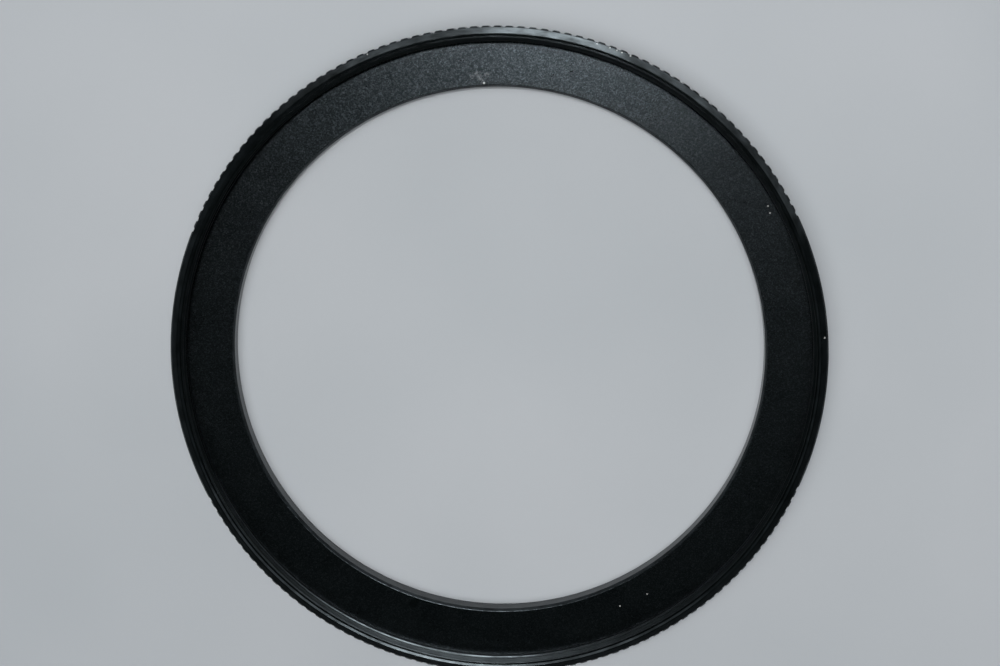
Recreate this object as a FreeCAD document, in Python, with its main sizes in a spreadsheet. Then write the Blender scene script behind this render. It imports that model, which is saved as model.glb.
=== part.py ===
# A step-up ring: one turned ring that lets a filter of a larger thread screw onto a smaller lens.
# The Z axis is the ring's own axis. Z = 0 is the free end of the spigot, which carries the
# male thread, and the recess with the female filter thread opens towards +Z.
# The two helical threads are so fine that the ring has their plain diameters here.
import FreeCAD, Part
import os
import Sketcher

doc = FreeCAD.newDocument("StepUpRing")

# Driving sizes: lengths in millimetres, the two knurl counts as plain numbers
sizes = doc.addObject("Spreadsheet::Sheet", "Sizes")
size_table = [
    ("lens_thread_diameter", "72", "nominal diameter of the male thread"),
    ("thread_step", "10", "how much larger the filter thread is than the lens thread"),
    ("thread_pitch", "0.75", "pitch of both threads"),
    ("spigot_wall", "1.2", "radial wall from the bore to the male thread's crest"),
    ("rim_wall", "1.5", "radial wall from the filter thread's root to the outside"),
    ("spigot_length", "2.0", "from the spigot's end to the shoulder"),
    ("web_thickness", "0.65", "from the shoulder to the floor of the recess"),
    ("recess_depth", "3.8", "from the floor of the recess to the front face"),
    ("front_land", "0.1", "width of the flat on the front face"),
    ("front_chamfer_width", "0.7", "width of the chamfer round the front of the rim"),
    ("front_chamfer_height", "0.42", "height of the chamfer round the front of the rim"),
    ("knurl_lead", "0.23", "height of the steeper edge between the chamfer and the outside"),
    ("mouth_chamfer", "0.23", "chamfer at the mouth of the recess, down to a narrow ledge"),
    ("mouth_clearance", "0.25", "how far the chamfered mouth clears the filter thread"),
    ("back_chamfer", "0.35", "chamfer round the back of the rim"),
    ("bore_chamfer", "0.15", "chamfer at the spigot's end of the bore"),
    ("bore_edge_width", "0.1", "width of the steep chamfer where the bore leaves the floor"),
    ("bore_edge_height", "0.2", "height of the steep chamfer where the bore leaves the floor"),
    ("relief_clearance", "0.05", "how far the relief in the recess clears the filter thread"),
    ("floor_relief_width", "1.6", "width of the thread relief above the floor"),
    ("shoulder_relief_width", "0.3", "width of the thread relief under the shoulder"),
    ("knurl_divisions", "180", "groove pitches in one full turn"),
    ("knurl_grooves", "66", "grooves in each of the two knurled arcs"),
    ("groove_width", "0.72", "width of a groove at the rim's outside"),
    ("groove_floor_width", "0.44", "width of a groove at its floor"),
    ("groove_depth", "0.18", "depth of a groove"),
    ("groove_overrun", "0.2", "how far the groove's cutter stands out of the rim"),
]
for row, (alias, value, meaning) in enumerate(size_table, start=1):
    sizes.set(f"A{row}", meaning)
    sizes.set(f"B{row}", value)
    sizes.setAlias(f"B{row}", alias)
doc.recompute()

# Basic thread form: depth of each thread as a share of its pitch
FEMALE_THREAD_DEPTH = 0.5413
MALE_THREAD_DEPTH = 0.6134

# Radii, from the axis outwards
spigot_radius = "(Sizes.lens_thread_diameter / 2)"
spigot_root_radius = f"({spigot_radius} - {MALE_THREAD_DEPTH} * Sizes.thread_pitch)"
bore_radius = f"({spigot_radius} - Sizes.spigot_wall)"
filter_radius = f"({spigot_radius} + Sizes.thread_step / 2)"
recess_radius = f"({filter_radius} - {FEMALE_THREAD_DEPTH} * Sizes.thread_pitch)"
relief_radius = f"({filter_radius} + Sizes.relief_clearance)"
mouth_radius = f"({filter_radius} + Sizes.mouth_clearance)"
land_radius = f"({mouth_radius} + Sizes.mouth_chamfer + Sizes.front_land)"
outer_radius = f"({filter_radius} + Sizes.rim_wall)"

# Heights, from the spigot's end to the front face
shoulder_height = "(Sizes.spigot_length)"
floor_height = f"({shoulder_height} + Sizes.web_thickness)"
front_height = f"({floor_height} + Sizes.recess_depth)"
ledge_height = f"({front_height} - Sizes.mouth_chamfer)"
chamfer_foot = f"({front_height} - Sizes.front_chamfer_height)"

body = doc.addObject("PartDesign::Body", "step_up_ring")
body.Label = "step_up_ring"


def origin_plane(role):
    for feature in body.Origin.OriginFeatures:
        if feature.Role == role:
            return feature
    raise RuntimeError("no origin plane " + role)


def new_sketch(name, role):
    sketch = body.newObject("Sketcher::SketchObject", name)
    sketch.AttachmentSupport = [(origin_plane(role), "")]
    sketch.MapMode = "FlatFace"
    return sketch


def draw_outline(sketch, corners):
    """Draw a closed outline and tie both coordinates of every corner to the sheet."""
    spots = []
    for across, up in corners:
        spots.append(FreeCAD.Vector(sketch.evalExpression(across), sketch.evalExpression(up), 0))
    first = sketch.GeometryCount
    for number, spot in enumerate(spots):
        sketch.addGeometry(Part.LineSegment(spot, spots[(number + 1) % len(spots)]), False)
    for number, (across, up) in enumerate(corners):
        edge = first + number
        previous = first + (number - 1) % len(spots)
        sketch.addConstraint(Sketcher.Constraint("Coincident", previous, 2, edge, 1))
        reach = sketch.addConstraint(Sketcher.Constraint("DistanceX", -1, 1, edge, 1, spots[number].x))
        sketch.setExpression(f"Constraints[{reach}]", across)
        rise = sketch.addConstraint(Sketcher.Constraint("DistanceY", -1, 1, edge, 1, spots[number].y))
        sketch.setExpression(f"Constraints[{rise}]", up)


# Half section of the ring, turned about the Z axis
section = new_sketch("Section", "XZ_Plane")
spigot_lead = f"({spigot_radius} - {spigot_root_radius})"
recess_lead = f"({relief_radius} - {recess_radius})"
draw_outline(section, [
    # spigot: end face, start chamfer of the thread, thread and its relief
    (f"{bore_radius} + Sizes.bore_chamfer", "0"),
    (spigot_root_radius, "0"),
    (spigot_radius, spigot_lead),
    (spigot_radius, f"{shoulder_height} - Sizes.shoulder_relief_width - {spigot_lead}"),
    (spigot_root_radius, f"{shoulder_height} - Sizes.shoulder_relief_width"),
    (spigot_root_radius, shoulder_height),
    # rim: shoulder, back chamfer, outside, its steeper front edge, front chamfer and front land
    (f"{outer_radius} - Sizes.back_chamfer", shoulder_height),
    (outer_radius, f"{shoulder_height} + Sizes.back_chamfer"),
    (outer_radius, f"{chamfer_foot} - Sizes.knurl_lead"),
    (f"{land_radius} + Sizes.front_chamfer_width", chamfer_foot),
    (land_radius, front_height),
    # mouth of the recess: a chamfer, and a narrow ledge where the filter thread starts
    (f"{mouth_radius} + Sizes.mouth_chamfer", front_height),
    (mouth_radius, ledge_height),
    (relief_radius, ledge_height),
    # recess: start chamfer of the filter thread, thread, its relief and the flat floor
    (recess_radius, f"{ledge_height} - {recess_lead}"),
    (recess_radius, f"{floor_height} + Sizes.floor_relief_width + {recess_lead}"),
    (relief_radius, f"{floor_height} + Sizes.floor_relief_width"),
    (relief_radius, floor_height),
    # bore: a steep chamfer at the floor and a plain one at the spigot's end
    (f"{bore_radius} + Sizes.bore_edge_width", floor_height),
    (bore_radius, f"{floor_height} - Sizes.bore_edge_height"),
    (bore_radius, "Sizes.bore_chamfer"),
])
turned = body.newObject("PartDesign::Revolution", "Turned")
turned.Profile = section
turned.ReferenceAxis = (section, ["V_Axis"])
turned.Angle = 360
doc.recompute()
turned_volume = turned.Shape.Volume

# Straight knurl: one groove on each side of the rim, repeated through two opposite arcs.
# The arcs are centred on the Y axis, so the rim stays plain round both ends of the X axis.
groove_floor = f"({outer_radius} - Sizes.groove_depth)"
groove_mouth = f"({outer_radius} + Sizes.groove_overrun)"
flank_slope = "((Sizes.groove_width - Sizes.groove_floor_width) / Sizes.groove_depth)"
half_floor = "(Sizes.groove_floor_width / 2)"
half_mouth = f"((Sizes.groove_width + {flank_slope} * Sizes.groove_overrun) / 2)"
knurl_pitch = "(360 / Sizes.knurl_divisions)"
knurl_arc = f"((Sizes.knurl_grooves - 1) * {knurl_pitch})"

groove_pair = new_sketch("GroovePair", "XY_Plane")
groove_pair.setExpression("AttachmentOffset.Rotation.Angle", f"90 - {knurl_arc} / 2")
for side in ("", "-"):
    draw_outline(groove_pair, [
        (f"{side}{groove_floor}", f"-{half_floor}"),
        (f"{side}{groove_mouth}", f"-{half_mouth}"),
        (f"{side}{groove_mouth}", half_mouth),
        (f"{side}{groove_floor}", half_floor),
    ])
first_grooves = body.newObject("PartDesign::Pocket", "FirstGrooves")
first_grooves.Profile = groove_pair
first_grooves.Type = "ThroughAll"
first_grooves.Reversed = True
doc.recompute()
groove_volume = turned_volume - first_grooves.Shape.Volume

knurl = body.newObject("PartDesign::PolarPattern", "Knurl")
knurl.Originals = [first_grooves]
knurl.Axis = (groove_pair, ["N_Axis"])
knurl.setExpression("Angle", knurl_arc)
knurl.setExpression("Occurrences", "Sizes.knurl_grooves")
body.Tip = knurl
doc.recompute()

# Check the whole document and that every groove was cut
for item in doc.Objects:
    if "Invalid" in item.State or "Error" in item.State:
        raise RuntimeError(f"{item.Name} failed: {item.State}")
if body.Shape.isNull() or not body.Shape.isValid() or len(body.Shape.Solids) != 1:
    raise RuntimeError("the ring is not one valid solid")
cut_volume = turned_volume - body.Shape.Volume
wanted_volume = groove_volume * knurl.Occurrences
if abs(cut_volume - wanted_volume) > wanted_volume / 100:
    raise RuntimeError(f"the knurl cuts {cut_volume:.3f}, not {wanted_volume:.3f} cubic millimetres")

os.makedirs("parts", exist_ok=True)
body.Shape.exportStep(f"parts/{body.Label}.step")
box = body.Shape.BoundBox
print(f"{body.Label}: {box.XLength:.3f} x {box.YLength:.3f} x {box.ZLength:.3f} mm")
print(f"volume {body.Shape.Volume:.1f} cubic millimetres, one groove {groove_volume / 2:.4f}")
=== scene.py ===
import math

import bmesh
import bpy
from mathutils import Matrix, Vector


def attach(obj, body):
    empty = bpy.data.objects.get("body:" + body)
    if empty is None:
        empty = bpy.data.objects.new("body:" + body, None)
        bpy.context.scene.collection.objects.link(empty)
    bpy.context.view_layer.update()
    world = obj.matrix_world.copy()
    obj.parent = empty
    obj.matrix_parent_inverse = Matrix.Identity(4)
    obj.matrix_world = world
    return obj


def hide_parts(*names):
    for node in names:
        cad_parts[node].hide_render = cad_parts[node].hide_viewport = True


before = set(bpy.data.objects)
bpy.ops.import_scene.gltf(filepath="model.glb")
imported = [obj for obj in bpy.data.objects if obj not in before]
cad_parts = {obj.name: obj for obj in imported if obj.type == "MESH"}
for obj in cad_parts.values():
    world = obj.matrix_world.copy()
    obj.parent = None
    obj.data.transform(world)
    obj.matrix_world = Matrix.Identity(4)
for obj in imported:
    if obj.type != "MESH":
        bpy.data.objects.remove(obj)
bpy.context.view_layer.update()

# Sizes of the ring in millimetres, as in the solid model
SPIGOT_R = 36.0
SPIGOT_ROOT_R = 35.54
BORE_R = 34.8
CREST_R = 40.594
ROOT_R = 41.0
RELIEF_R = 41.05
MOUTH_R = 41.25
GROOVE_FLOOR_R = 42.32
OUTER_R = 42.5
SHOULDER_Z = 2.0
FLOOR_Z = 2.65
FRONT_Z = 6.45
PITCH = 0.75
MOUTH_CHAMFER = 0.23
FRONT_LAND = 0.1
FRONT_CHAMFER_WIDTH = 0.7
FRONT_CHAMFER_HEIGHT = 0.42
KNURL_LEAD = 0.23
BACK_CHAMFER = 0.35
BORE_CHAMFER = 0.15
FLOOR_RELIEF = 1.6
SHOULDER_RELIEF = 0.3
GROOVE_HALF_WIDTH = 0.36
GROOVE_HALF_FLOOR = 0.22
GROOVES_PER_ARC = 66
GROOVE_STEP = 2.0
ARC_CENTRES = (90.0, 270.0)

# Fine edges: the steep edge of the bore with its broken corner, and the lip under the
# filter thread, which is broken above a narrow land
BORE_EDGE_WIDTH = 0.24
BORE_EDGE_HEIGHT = 0.5
BORE_BROKEN_EDGE = 0.06
LIP_LAND = 0.039
LIP_EDGE = 0.13

# Thread form: the shares of the pitch that a flank and each thread's crest take, and the
# steps up a flank
FLANK_SHARE = 0.3125
FEMALE_CREST_SHARE = 0.25
MALE_CREST_SHARE = 0.125
FLANK_STEPS = (0.08, 0.36, 0.64, 0.92)

# Mesh fineness
TURN_COLUMNS = 360
ARC_STEPS = 3
CORNER_POINTS = ARC_STEPS + 1
# How far from its edge a broad flat face has a ring of points, which keeps it evenly lit
FLAT_MARGIN = 0.5


def rounded(corners):
    """Points of a line through corners (across, up, radius), each rounded with its radius."""
    points = []
    for number, (across, up, radius) in enumerate(corners):
        here = Vector((across, up))
        if radius == 0:
            points.append((across, up))
            continue
        back = Vector(corners[number - 1][:2]) - here
        ahead = Vector(corners[number + 1][:2]) - here
        half = back.angle(ahead) / 2
        reach = min(radius / math.tan(half), 0.45 * back.length, 0.45 * ahead.length)
        back.normalize()
        ahead.normalize()
        centre = here + (back + ahead).normalized() * (reach / math.cos(half))
        start = here + back * reach - centre
        turn = start.angle_signed(here + ahead * reach - centre)
        for step in range(ARC_STEPS + 1):
            spoke = start.copy()
            spoke.rotate(Matrix.Rotation(-turn * step / ARC_STEPS, 2))
            points.append(tuple(centre + spoke))
    return points


class Skin:
    """Collects rings of points round the axis and the bands between them."""

    def __init__(self):
        self.points = []
        self.faces = []
        self.finishes = []

    def point(self, angle, radius, height):
        turn = math.radians(angle)
        self.points.append((radius * math.cos(turn), radius * math.sin(turn), height))
        return len(self.points) - 1

    def face(self, corners, finish):
        kept = []
        for corner in corners:
            if corner not in kept:
                kept.append(corner)
        if len(kept) > 2:
            self.faces.append(kept)
            self.finishes.append(finish)

    def ring(self, angles, radius, height):
        return [self.point(angle, radius, height) for angle in angles]

    def band(self, first, second, finish):
        for number in range(len(first)):
            after = (number + 1) % len(first)
            self.face((first[number], first[after], second[after], second[number]), finish)

    def profile(self, angles, start, line, finish):
        """Bands from the ring of points start along a line of (radius, height)."""
        for radius, height in line:
            ring = self.ring(angles, radius, height)
            self.band(start, ring, finish)
            start = ring
        return start

    def stitch(self, first, first_angles, second, second_angles, finish):
        """A band between two rings with different numbers of points."""
        one, two = 0, 0
        while one < len(first) or two < len(second):
            next_one = first_angles[one + 1] if one + 1 < len(first) else first_angles[0] + 360
            next_two = second_angles[two + 1] if two + 1 < len(second) else second_angles[0] + 360
            a, b = first[one % len(first)], second[two % len(second)]
            if two >= len(second) or (one < len(first) and next_one <= next_two):
                self.face((a, first[(one + 1) % len(first)], b), finish)
                one += 1
            else:
                self.face((a, second[(two + 1) % len(second)], b), finish)
                two += 1
        return second

    def thread(self, angles, start, low, high, form, limit, pick, finish):
        """A right-handed helical thread from the ring start at low up to a new ring at high.

        form holds (share of a pitch, radius), limit(height) is the plain section's radius, and
        pick chooses between the two radii, so that the thread runs out in the chamfers."""
        end = self.ring(angles, limit(high), high)
        rows = len(form) * (math.ceil((high - low) / PITCH) + 2)
        made = {}

        def spot(column, row):
            if (column, row) in made:
                return made[column, row]
            share, radius = form[row % len(form)]
            height = low + PITCH * (row // len(form) - 1 + share + column / len(angles))
            if height <= low:
                made[column, row] = start[column]
            elif height >= high:
                made[column, row] = end[column]
            else:
                made[column, row] = self.point(angles[column], pick(radius, limit(height)), height)
            return made[column, row]

        for column in range(len(angles)):
            wraps = column + 1 == len(angles)
            for row in range(rows):
                after = 0 if wraps else column + 1
                lift = len(form) if wraps else 0
                self.face((spot(column, row), spot(after, row + lift),
                           spot(after, row + 1 + lift), spot(column, row + 1)), finish)
        return end


def between(table):
    """A function that reads radius from a table of (height, radius) by straight lines."""
    def read(height):
        for (low, one), (high, two) in zip(table, table[1:]):
            if height <= high:
                return one + (two - one) * max(0, height - low) / (high - low)
        return table[-1][1]
    return read


def thread_form(crest_r, root_r, crest_share):
    """One pitch of a thread as (share of the pitch, radius): crest, flank, root and flank."""
    root_share = 1 - crest_share - 2 * FLANK_SHARE
    form = [(crest_share * part, crest_r) for part in (0, 0.5)]
    form += [(crest_share + FLANK_SHARE * part, crest_r + (root_r - crest_r) * part)
             for part in (0, *FLANK_STEPS)]
    form += [(crest_share + FLANK_SHARE + root_share * part, root_r) for part in (0, 0.5)]
    form += [(1 - FLANK_SHARE * part, crest_r + (root_r - crest_r) * part)
             for part in (1, *reversed(FLANK_STEPS))]
    return form


def knurl_columns():
    """Angle and radius of each column of the rim's outside."""
    half_pitch = math.radians(GROOVE_STEP) * OUTER_R / 2
    depth = OUTER_R - GROOVE_FLOOR_R
    form = rounded([
        (-half_pitch, 0, 0),
        (-GROOVE_HALF_WIDTH, 0, 0.22),
        (-GROOVE_HALF_FLOOR, -depth, 0.14),
        (GROOVE_HALF_FLOOR, -depth, 0.14),
        (GROOVE_HALF_WIDTH, 0, 0.22),
        (half_pitch, 0, 0),
    ])
    columns = []
    for centre in ARC_CENTRES:
        first = centre - GROOVE_STEP * (GROOVES_PER_ARC - 1) / 2
        for number in range(GROOVES_PER_ARC):
            for along, rise in form[:-1]:
                angle = first + number * GROOVE_STEP + math.degrees(along / OUTER_R)
                columns.append((angle, OUTER_R + rise))
        last = first + (GROOVES_PER_ARC - 0.5) * GROOVE_STEP
        plain = 180 - GROOVES_PER_ARC * GROOVE_STEP
        for number in range(int(plain)):
            columns.append((last + number, OUTER_R))
    return sorted((angle % 360, radius) for angle, radius in columns)


# The finishes, which are the ring's material slots
FLOOR, TURNED, KNURL, EDGE, THREAD = range(5)


def ring_mesh():
    skin = Skin()
    turn = [360 * number / TURN_COLUMNS for number in range(TURN_COLUMNS)]
    ledge_z = FRONT_Z - MOUTH_CHAMFER
    recess_lead = RELIEF_R - CREST_R
    spigot_lead = SPIGOT_R - SPIGOT_ROOT_R

    # Outside of the rim: each column has its own radius, so the grooves cut the edges cleanly
    columns = knurl_columns()
    column_angles = [angle for angle, radius in columns]
    land_in = MOUTH_R + MOUTH_CHAMFER
    land_out = land_in + FRONT_LAND
    land_seam = 0.3 * FRONT_LAND
    foot_r = land_out + FRONT_CHAMFER_WIDTH
    foot_z = FRONT_Z - FRONT_CHAMFER_HEIGHT
    back_r = OUTER_R - BACK_CHAMFER
    seat_r = back_r - 0.1
    lines = []
    for angle, radius in columns:
        # How much of the steep front edge is left at this column: less where a groove cuts in
        share = (radius - foot_r) / (OUTER_R - foot_r)
        lines.append(rounded([
            (land_out - land_seam, FRONT_Z, 0),
            (land_out, FRONT_Z, 0.05),
            (foot_r, foot_z, 0.05 * share),
            (radius, foot_z - KNURL_LEAD * share, 0.06 * share),
            (radius, SHOULDER_Z + radius - back_r, 0.06),
            (back_r, SHOULDER_Z, 0.06),
            (seat_r, SHOULDER_Z, 0),
        ]))
    rows = [[skin.point(column_angles[column], *line[row]) for column, line in enumerate(lines)]
            for row in range(len(lines[0]))]
    for row, (one, two) in enumerate(zip(rows, rows[1:])):
        skin.band(one, two, EDGE if row < 1 + 2 * CORNER_POINTS else KNURL)

    # Front land, mouth of the recess and its ledge, then the filter thread, which runs out
    # in its start chamfer above and in the lip's edge below
    mouth = rounded([
        (land_in + land_seam, FRONT_Z, 0),
        (land_in, FRONT_Z, 0.04),
        (MOUTH_R, ledge_z, 0.03),
        (RELIEF_R, ledge_z, 0.02),
        (RELIEF_R - 0.02, ledge_z - 0.1, 0),
        (CREST_R, ledge_z - recess_lead, 0),
    ])[:-1]
    land = skin.ring(turn, *mouth[0])
    skin.stitch(rows[0], column_angles, land, turn, EDGE)
    thread_top = skin.profile(turn, land, mouth[1:], EDGE)
    relief_top = FLOOR_Z + FLOOR_RELIEF
    lip_z = relief_top + recess_lead
    wall = rounded([
        (CREST_R + LIP_EDGE, lip_z + LIP_LAND + LIP_EDGE, 0),
        (CREST_R, lip_z + LIP_LAND, 0.02),
        (CREST_R, lip_z, 0.02),
        (RELIEF_R, relief_top, 0.05),
        (RELIEF_R, FLOOR_Z, 0.02),
        (RELIEF_R - FLAT_MARGIN, FLOOR_Z, 0),
    ])
    thread_foot = skin.ring(turn, *wall[0])
    limit = between([
        (wall[0][1], wall[0][0]),
        (wall[0][1] + LIP_EDGE, CREST_R),
        (ledge_z - recess_lead, CREST_R),
        (mouth[-1][1], mouth[-1][0]),
    ])
    form = thread_form(CREST_R, ROOT_R, FEMALE_CREST_SHARE)
    thread_end = skin.thread(turn, thread_foot, wall[0][1], mouth[-1][1], form, limit, max, THREAD)
    skin.band(thread_top, thread_end, THREAD)

    # Relief wall, flat floor and the edge of the bore
    lip_end = 1 + 2 * CORNER_POINTS
    relief = skin.profile(turn, thread_foot, wall[1:lip_end], EDGE)
    floor_start = skin.profile(turn, relief, wall[lip_end:-1], THREAD)
    floor = [(RELIEF_R - FLAT_MARGIN, FLOOR_Z), ((RELIEF_R + BORE_R) / 2, FLOOR_Z),
             (BORE_R + FLAT_MARGIN, FLOOR_Z)]
    bore = rounded([
        (BORE_R + FLAT_MARGIN, FLOOR_Z, 0),
        (BORE_R + BORE_EDGE_WIDTH + BORE_BROKEN_EDGE, FLOOR_Z, 0.03),
        (BORE_R + BORE_EDGE_WIDTH, FLOOR_Z - BORE_BROKEN_EDGE, 0.03),
        (BORE_R, FLOOR_Z - BORE_EDGE_HEIGHT, 0.04),
        (BORE_R, BORE_CHAMFER, 0.04),
        (BORE_R + BORE_CHAMFER, 0, 0.04),
        (SPIGOT_ROOT_R, 0, 0.05),
        (SPIGOT_ROOT_R + 0.1, 0.1, 0),
    ])[1:-1]
    broken_end = CORNER_POINTS + 1
    edge_end = 3 * CORNER_POINTS - 1
    floor_end = skin.profile(turn, floor_start, floor + bore[:broken_end], FLOOR)
    bore_wall = skin.profile(turn, floor_end, bore[broken_end:edge_end], EDGE)
    spigot_foot = skin.profile(turn, bore_wall, bore[edge_end:], TURNED)

    # Spigot: male thread and its relief, then the shoulder
    spigot_top = SHOULDER_Z - SHOULDER_RELIEF
    limit = between([
        (bore[-1][1], bore[-1][0]),
        (spigot_lead, SPIGOT_R),
        (spigot_top - spigot_lead, SPIGOT_R),
        (spigot_top, SPIGOT_ROOT_R),
    ])
    form = thread_form(SPIGOT_R, SPIGOT_ROOT_R + 0.02, MALE_CREST_SHARE)
    neck = skin.thread(turn, spigot_foot, bore[-1][1], spigot_top, form, limit, min, TURNED)
    shoulder = rounded([
        (SPIGOT_ROOT_R, spigot_top, 0),
        (SPIGOT_ROOT_R, SHOULDER_Z, 0.08),
        (SPIGOT_ROOT_R + 1.0, SHOULDER_Z, 0),
        (seat_r - 0.3, SHOULDER_Z, 0),
    ])[1:]
    seat = skin.profile(turn, neck, shoulder, TURNED)
    skin.stitch(seat, turn, rows[-1], column_angles, TURNED)
    return skin


def build_ring():
    skin = ring_mesh()
    mesh = bpy.data.meshes.new("step_up_ring_visual")
    mesh.from_pydata([(x / 1000, y / 1000, z / 1000) for x, y, z in skin.points], [], skin.faces)
    mesh.polygons.foreach_set("material_index", skin.finishes)
    work = bmesh.new()
    work.from_mesh(mesh)
    bmesh.ops.recalc_face_normals(work, faces=work.faces)
    work.to_mesh(mesh)
    work.free()
    mesh.shade_smooth()

    # Corner normals weighted by face area, so broad faces stay even up to their rounded edges
    sums = [Vector() for vertex in mesh.vertices]
    for face in mesh.polygons:
        for corner in face.vertices:
            sums[corner] += face.normal * (face.area * 1e6)
    mesh.normals_split_custom_set_from_vertices([total.normalized() for total in sums])
    ring = bpy.data.objects.new("step_up_ring_visual", mesh)
    bpy.context.scene.collection.objects.link(ring)
    return ring


class Nodes:
    """Short calls for a material's nodes."""

    def __init__(self, name):
        self.material = bpy.data.materials.new(name)
        self.material.use_nodes = True
        self.tree = self.material.node_tree
        self.shader = self.tree.nodes["Principled BSDF"]

    def link(self, source, target):
        if isinstance(source, (int, float, tuple)):
            target.default_value = source
        else:
            self.tree.links.new(source, target)

    def node(self, kind, **settings):
        node = self.tree.nodes.new(kind)
        for key, value in settings.items():
            setattr(node, key, value)
        return node

    def math(self, operation, *values):
        node = self.node("ShaderNodeMath", operation=operation)
        for number, value in enumerate(values):
            self.link(value, node.inputs[number])
        return node.outputs[0]

    def noise(self, vector, scale, detail=2.0, roughness=0.5):
        node = self.node("ShaderNodeTexNoise")
        self.link(vector, node.inputs["Vector"])
        node.inputs["Scale"].default_value = scale
        node.inputs["Detail"].default_value = detail
        node.inputs["Roughness"].default_value = roughness
        return node.outputs[0]

    def cells(self, vector, scale):
        """A random colour for each small cell of the surface."""
        node = self.node("ShaderNodeTexVoronoi", feature="F1")
        self.link(vector, node.inputs["Vector"])
        node.inputs["Scale"].default_value = scale
        return node.outputs["Color"]

    def vector(self, operation, *values):
        node = self.node("ShaderNodeVectorMath", operation=operation)
        for number, value in enumerate(values):
            self.link(value, node.inputs[number])
        return node.outputs[0]

    def tilted(self, normal, cells, amount):
        """The normal leaned by a different small amount in each cell."""
        lean = self.vector("SUBTRACT", cells, (0.5, 0.5, 0.5))
        lean = self.vector("MULTIPLY", lean, (amount, amount, amount))
        return self.vector("NORMALIZE", self.vector("ADD", normal, lean))

    def spots(self, place, where):
        """One close to a few places (x, y, z and size in millimetres), zero elsewhere."""
        total = 0.0
        for x, y, z, size in where:
            gap = self.node("ShaderNodeVectorMath", operation="DISTANCE")
            self.link(place, gap.inputs[0])
            gap.inputs[1].default_value = (x, y, z)
            near = self.spread(gap.outputs["Value"], size * 0.5, size, 1.0, 0.0)
            total = self.math("MAXIMUM", near, total)
        return total

    def spread(self, value, low, high, to_low=0.0, to_high=1.0):
        node = self.node("ShaderNodeMapRange", clamp=True)
        for number, item in enumerate((value, low, high, to_low, to_high)):
            self.link(item, node.inputs[number])
        return node.outputs[0]

    def mix(self, share, one, two):
        node = self.node("ShaderNodeMix", data_type="RGBA")
        self.link(share, node.inputs[0])
        self.link(one, node.inputs[6])
        self.link(two, node.inputs[7])
        return node.outputs[2]

    def bump(self, height, distance, strength=1.0, normal=None):
        node = self.node("ShaderNodeBump")
        node.inputs["Strength"].default_value = strength
        node.inputs["Distance"].default_value = distance
        self.link(height, node.inputs["Height"])
        if normal is not None:
            self.link(normal, node.inputs["Normal"])
        return node.outputs[0]

    def place(self):
        """The surface point in millimetres."""
        coordinates = self.node("ShaderNodeTexCoord").outputs["Object"]
        scaled = self.node("ShaderNodeVectorMath", operation="SCALE")
        self.link(coordinates, scaled.inputs[0])
        scaled.inputs["Scale"].default_value = 1000.0
        return scaled.outputs[0]

    def split(self, place):
        node = self.node("ShaderNodeSeparateXYZ")
        self.link(place, node.inputs[0])
        return node.outputs

    def join(self, x, y, z):
        node = self.node("ShaderNodeCombineXYZ")
        for number, item in enumerate((x, y, z)):
            self.link(item, node.inputs[number])
        return node.outputs[0]


# Dust and wear, and a few painted highlights, as (x, y, z, size) in millimetres on the ring
FLOOR_DUST = ((-0.61, 35.30, 2.65, 0.17), (35.21, 18.62, 2.65, 0.12), (35.46, 17.71, 2.65, 0.12),
              (15.24, -34.52, 2.65, 0.12), (18.87, -32.90, 2.65, 0.11))
SMEAR = ((-0.85, 35.65, 2.65, 0.45), (-1.15, 36.10, 2.65, 0.50), (-1.50, 36.45, 2.65, 0.45),
         (-2.10, 36.20, 2.65, 0.40), (-0.20, 36.30, 2.65, 0.40))
DARK_SPOT = ((-12.55, -33.83, 2.65, 0.75), (-12.05, -33.45, 2.65, 0.45))
EDGE_DUST_AND_GLINTS = ((-14.95, 39.48, 6.15, 0.14), (41.97, 1.97, 6.22, 0.14), (-21.50, -34.25, 4.72, 0.22),
             # The next five spots, on the corners of the knurl lands, are painted highlights: the
             # lamps' glints drawn as grey spots
             (13.85, 39.81, 6.05, 0.13), (15.45, 39.32, 6.05, 0.13), (16.31, 38.92, 6.05, 0.12),
             (16.93, 38.65, 6.05, 0.13), (17.97, 38.20, 6.05, 0.15))
THREAD_DUST = ((-21.95, 34.66, 5.20, 0.16), (1.62, -40.45, 4.80, 0.12))

# Colours
# Grey of the dust spots, which also paints the glints on the front edge as painted highlights
DUST_AND_GLINT_GREY = (0.50, 0.50, 0.48, 1)
SMEAR_GREY = (0.55, 0.55, 0.56, 1)
BLASTED_TONES = ((0.0010, 0.0017, 0.0017, 1), (0.0017, 0.0026, 0.0026, 1))
TURNED_TONES = ((0.0006, 0.0011, 0.0010, 1), (0.0014, 0.0022, 0.0021, 1))
KNURLED_TONES = ((0.0012, 0.0018, 0.0018, 1), (0.0028, 0.0036, 0.0036, 1))
FLOOR_TONES = ((0.50, 0.53, 0.555, 1), (0.54, 0.565, 0.59, 1))
BLASTED_SHEEN = (0.76, 0.90, 1.0, 1)
TURNED_SHEEN = (0.78, 0.92, 1.0, 1)
WHITE = (1, 1, 1)
COOL_WHITE = (0.98, 0.99, 1)


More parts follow.
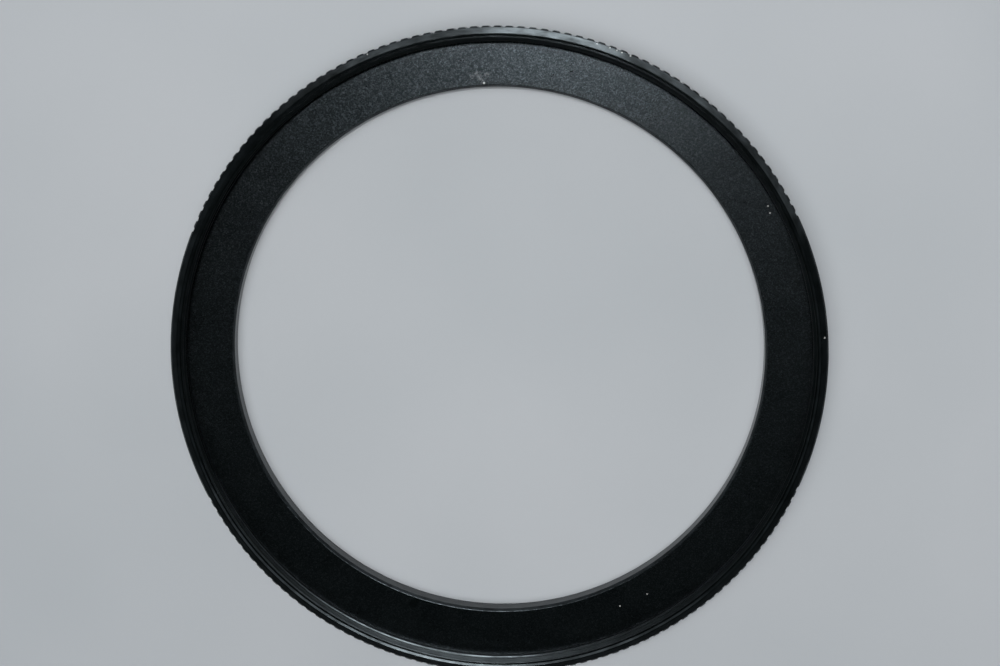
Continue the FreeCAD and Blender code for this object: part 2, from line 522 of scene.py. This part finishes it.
def blasted_black(name):
    """Black anodising over a fine blasted surface, which glitters where light strikes it."""
    n = Nodes(name)
    place = n.place()
    height = n.split(place)["Z"]
    n.shader.inputs["IOR"].default_value = 1.4
    n.shader.inputs["Specular Tint"].default_value = BLASTED_SHEEN
    grit = n.cells(place, 5.6)
    fine = n.cells(place, 11.0)
    grain = n.noise(place, 6.0, 2.0, 0.6)
    cloud = n.noise(place, 0.22, 2.0)
    facet = n.node("ShaderNodeSeparateColor")
    n.link(grit, facet.inputs[0])
    spark = n.node("ShaderNodeSeparateColor")
    n.link(fine, spark.inputs[0])
    tone = n.mix(n.spread(cloud, 0.3, 0.7), *BLASTED_TONES)
    wisps = n.spread(n.noise(place, 3.0, 3.0, 0.6), 0.4, 0.65)
    smear = n.math("MULTIPLY", n.spots(place, SMEAR), wisps)
    tone = n.mix(n.math("MULTIPLY", smear, 0.16), tone, SMEAR_GREY)
    tone = n.mix(n.spots(place, FLOOR_DUST), tone, DUST_AND_GLINT_GREY)
    n.link(tone, n.shader.inputs["Base Color"])
    rough = n.spread(facet.outputs[1], 0.0, 1.0, 0.28, 0.33)
    rough = n.math("ADD", rough, n.spread(cloud, 0.3, 0.7, -0.01, 0.01))
    n.link(rough, n.shader.inputs["Roughness"])
    gleam = n.math("POWER", facet.outputs[0], 3.0)
    glint = n.math("POWER", spark.outputs[0], 6.0)
    level = n.math("ADD", n.spread(gleam, 0.0, 1.0, 0.33, 0.75), n.math("MULTIPLY", glint, 0.75))
    dull = n.math("SUBTRACT", 1.0, n.math("MULTIPLY", n.spots(place, DARK_SPOT), 0.7))
    # The broken edge of the bore, just under the floor, shines only here and there
    nicks = n.spread(n.noise(place, 1.5, 3.0, 0.7), 0.42, 0.62, 0.25, 1.3)
    on_floor = n.spread(height, FLOOR_Z - 0.01, FLOOR_Z - 0.002)
    floor_cap = n.spread(height, FLOOR_Z - 0.01, FLOOR_Z - 0.002, 1.3, 1.0)
    broken = n.math("MINIMUM", n.math("ADD", nicks, on_floor), floor_cap)
    level = n.math("MULTIPLY", level, broken)
    n.link(n.math("MULTIPLY", level, dull), n.shader.inputs["Specular IOR Level"])
    normal = n.bump(grain, 0.00001, 0.2)
    n.link(n.tilted(normal, grit, 0.04), n.shader.inputs["Normal"])
    return n.material


def turned_black(name, rough_low, rough_high, grain_strength, tones=TURNED_TONES, dust_and_glints=(),
                 ior=1.36, patch=0.12):
    """Black anodising over a turned surface: fine tool lines run round the axis."""
    n = Nodes(name)
    n.shader.inputs["IOR"].default_value = ior
    n.shader.inputs["Specular Tint"].default_value = TURNED_SHEEN
    place = n.place()
    x, y, z = n.split(place)
    squares = n.math("ADD", n.math("MULTIPLY", x, x), n.math("MULTIPLY", y, y))
    radius = n.math("SQRT", squares)
    angle = n.math("ARCTAN2", y, x)
    across = n.math("ADD", radius, n.math("MULTIPLY", z, 1.37))
    along_lines = n.join(n.math("MULTIPLY", across, 9.0), n.math("MULTIPLY", angle, 3.0), 0.0)
    lines = n.noise(along_lines, 1.0, 3.0, 0.6)
    broad = n.noise(place, 0.35, 2.0)
    grain = n.noise(place, 7.0, 2.0, 0.6)
    mixed = n.math("ADD", n.math("MULTIPLY", lines, 0.6), n.math("MULTIPLY", broad, 0.4))
    tone = n.mix(n.spread(mixed, 0.35, 0.65), *tones)
    # Grey spots: dust, and on the front edge also painted highlights that stand in for the lamps'
    # glints
    if dust_and_glints:
        tone = n.mix(n.spots(place, dust_and_glints), tone, DUST_AND_GLINT_GREY)
    n.link(tone, n.shader.inputs["Base Color"])
    patches = n.noise(n.join(n.math("MULTIPLY", angle, 22.0), z, radius), 1.0, 3.0, 0.6)
    level = n.spread(patches, 0.3, 0.7, 0.5 - patch, 0.5 + patch)
    n.link(level, n.shader.inputs["Specular IOR Level"])
    rough = n.math("ADD", n.spread(lines, 0.3, 0.7, rough_low, rough_high),
                   n.spread(broad, 0.3, 0.7, -0.02, 0.02))
    n.link(rough, n.shader.inputs["Roughness"])
    first = n.bump(lines, 0.00001, 0.25)
    n.link(n.bump(grain, 0.00001, grain_strength, first), n.shader.inputs["Normal"])
    return n.material


def plain_floor(name):
    """A pale, matt table with faint clouds."""
    n = Nodes(name)
    place = n.place()
    soft = n.noise(place, 0.02, 2.0)
    fine = n.noise(place, 1.6, 3.0, 0.6)
    n.link(n.mix(n.spread(soft, 0.35, 0.65), *FLOOR_TONES), n.shader.inputs["Base Color"])
    n.link(n.spread(fine, 0.3, 0.7, 0.55, 0.68), n.shader.inputs["Roughness"])
    n.shader.inputs["Specular IOR Level"].default_value = 0.2
    n.link(n.bump(fine, 0.00002, 0.3), n.shader.inputs["Normal"])
    return n.material


def area_lamp(name, place, size, power, aim=(0, 0, 0), colour=WHITE, glossy=True, diffuse=True):
    data = bpy.data.lights.new(name, "AREA")
    data.shape = "RECTANGLE"
    data.size, data.size_y = size
    data.energy = power
    data.color = colour
    lamp = bpy.data.objects.new(name, data)
    bpy.context.scene.collection.objects.link(lamp)
    lamp.location = place
    lamp.rotation_mode = "QUATERNION"
    lamp.rotation_quaternion = (Vector(aim) - Vector(place)).to_track_quat("-Z", "Y")
    lamp.visible_camera = False
    lamp.visible_glossy = glossy
    lamp.visible_diffuse = diffuse


# The ring
ring = build_ring()
for material in (
    blasted_black("blasted_black"),
    turned_black("turned_black", 0.15, 0.24, 0.15),
    turned_black("knurled_black", 0.20, 0.32, 0.4, KNURLED_TONES, ior=1.5),
    # Its grey spots are dust and, at the corners of the knurl lands, painted highlights
    turned_black("edge_black", 0.13, 0.22, 0.2, dust_and_glints=EDGE_DUST_AND_GLINTS, patch=0.28),
    turned_black("thread_black", 0.26, 0.36, 0.2, dust_and_glints=THREAD_DUST),
):
    ring.data.materials.append(material)
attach(ring, "root")
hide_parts("step_up_ring")

# Floor
REACH = 3
floor_corners = [(-REACH, -REACH, 0), (REACH, -REACH, 0), (REACH, REACH, 0), (-REACH, REACH, 0)]
floor_mesh = bpy.data.meshes.new("floor")
floor_mesh.from_pydata(floor_corners, [], [(0, 1, 2, 3)])
floor = bpy.data.objects.new("floor", floor_mesh)
bpy.context.scene.collection.objects.link(floor)
floor_mesh.materials.append(plain_floor("pale_floor"))

# Camera, as fitted to the rim and the bore in the photograph
FOCAL_PX = 1767.0
DISTANCE = 0.2274
CENTRE_PX = (-3.69, 27.68)
TILT_DEG, PAN_DEG, ROLL_DEG = 10.176, -2.981, 1.335
IMAGE_WIDTH_PX = 1000
SENSOR_WIDTH_MM = 36.0
ring_to_camera = (Matrix.Rotation(math.radians(PAN_DEG), 3, "Y")
                  @ Matrix.Rotation(math.radians(TILT_DEG), 3, "X")
                  @ Matrix.Rotation(math.radians(ROLL_DEG), 3, "Z"))
camera_to_ring = ring_to_camera.transposed()
metres_per_px = DISTANCE / FOCAL_PX
centre = Vector((CENTRE_PX[0] * metres_per_px, -CENTRE_PX[1] * metres_per_px, -DISTANCE))
front_centre = Vector((0, 0, FRONT_Z / 1000))
camera_data = bpy.data.cameras.new("camera")
camera_data.sensor_fit = "HORIZONTAL"
camera_data.sensor_width = SENSOR_WIDTH_MM
camera_data.lens = FOCAL_PX * SENSOR_WIDTH_MM / IMAGE_WIDTH_PX
camera_data.clip_start = 0.01
camera = bpy.data.objects.new("camera", camera_data)
camera_place = camera_to_ring @ -centre + front_centre
camera.matrix_world = Matrix.Translation(camera_place) @ camera_to_ring.to_4x4()
bpy.context.scene.collection.objects.link(camera)
bpy.context.scene.camera = camera

# Lamps. The panels (name, place, width and height, power) only show in the ring's sheen.
PANELS = (
    ("low_panel", (0.145, 0.603, 0.192), (0.52, 0.13), 3.7),
    ("back_panel", (0.101, 0.560, 0.314), (0.27, 0.115), 1.15),
    ("wide_panel", (0.08, 0.66, 0.29), (1.1, 0.34), 2.0),
    ("upper_panel", (0.05, 0.463, 0.52), (0.36, 0.14), 1.15),
    ("side_panel", (0.580, 0.391, 0.31), (0.50, 0.28), 0.44),
    ("left_panel", (-0.396, 0.566, 0.30), (0.32, 0.26), 0.15),
)
area_lamp("key", (0.0086, 0.082, 0.33), (0.036, 0.028), 0.37, aim=(0, 0.01, 0))
for panel in PANELS:
    area_lamp(*panel, diffuse=False)
area_lamp("fill", (-0.1, -0.05, 0.9), (0.8, 0.8), 1.1, colour=COOL_WHITE, glossy=False)

# Even daylight, so that the floor stays pale out to its far edge
daylight_data = bpy.data.lights.new("daylight", "SUN")
daylight_data.energy = 1.2
daylight_data.angle = math.radians(50)
daylight_data.color = COOL_WHITE
daylight = bpy.data.objects.new("daylight", daylight_data)
daylight.rotation_euler = (math.radians(-4), math.radians(-6), 0)
daylight.visible_glossy = False
bpy.context.scene.collection.objects.link(daylight)

# World: heights above the horizon with their colours, pale below and dark above. Its strength
# falls towards -Y, from one share of Y to the other.
SKY = (
    (0.02, (0.42, 0.45, 0.48, 1)),
    (0.25, (0.36, 0.39, 0.41, 1)),
    (0.45, (0.030, 0.034, 0.038, 1)),
)
FROM_Y, TO_Y = -0.6, 0.3
FROM_STRENGTH, TO_STRENGTH = 0.35, 1.0
world = bpy.data.worlds.new("world")
bpy.context.scene.world = world
world.use_nodes = True
sky = world.node_tree
background = sky.nodes["Background"]
direction = sky.nodes.new("ShaderNodeTexCoord")
parts = sky.nodes.new("ShaderNodeSeparateXYZ")
ramp = sky.nodes.new("ShaderNodeValToRGB")
side = sky.nodes.new("ShaderNodeMapRange")
sky.links.new(direction.outputs["Generated"], parts.inputs[0])
sky.links.new(parts.outputs["Z"], ramp.inputs[0])
sky.links.new(ramp.outputs[0], background.inputs["Color"])
sky.links.new(parts.outputs["Y"], side.inputs[0])
sky.links.new(side.outputs[0], background.inputs["Strength"])
ramp.color_ramp.interpolation = "EASE"
ramp.color_ramp.elements.remove(ramp.color_ramp.elements[1])
ramp.color_ramp.elements[0].position, ramp.color_ramp.elements[0].color = SKY[0]
for position, colour in SKY[1:]:
    ramp.color_ramp.elements.new(position).color = colour
for socket, value in zip(side.inputs[1:5], (FROM_Y, TO_Y, FROM_STRENGTH, TO_STRENGTH)):
    socket.default_value = value

bpy.context.scene.view_settings.view_transform = "Standard"
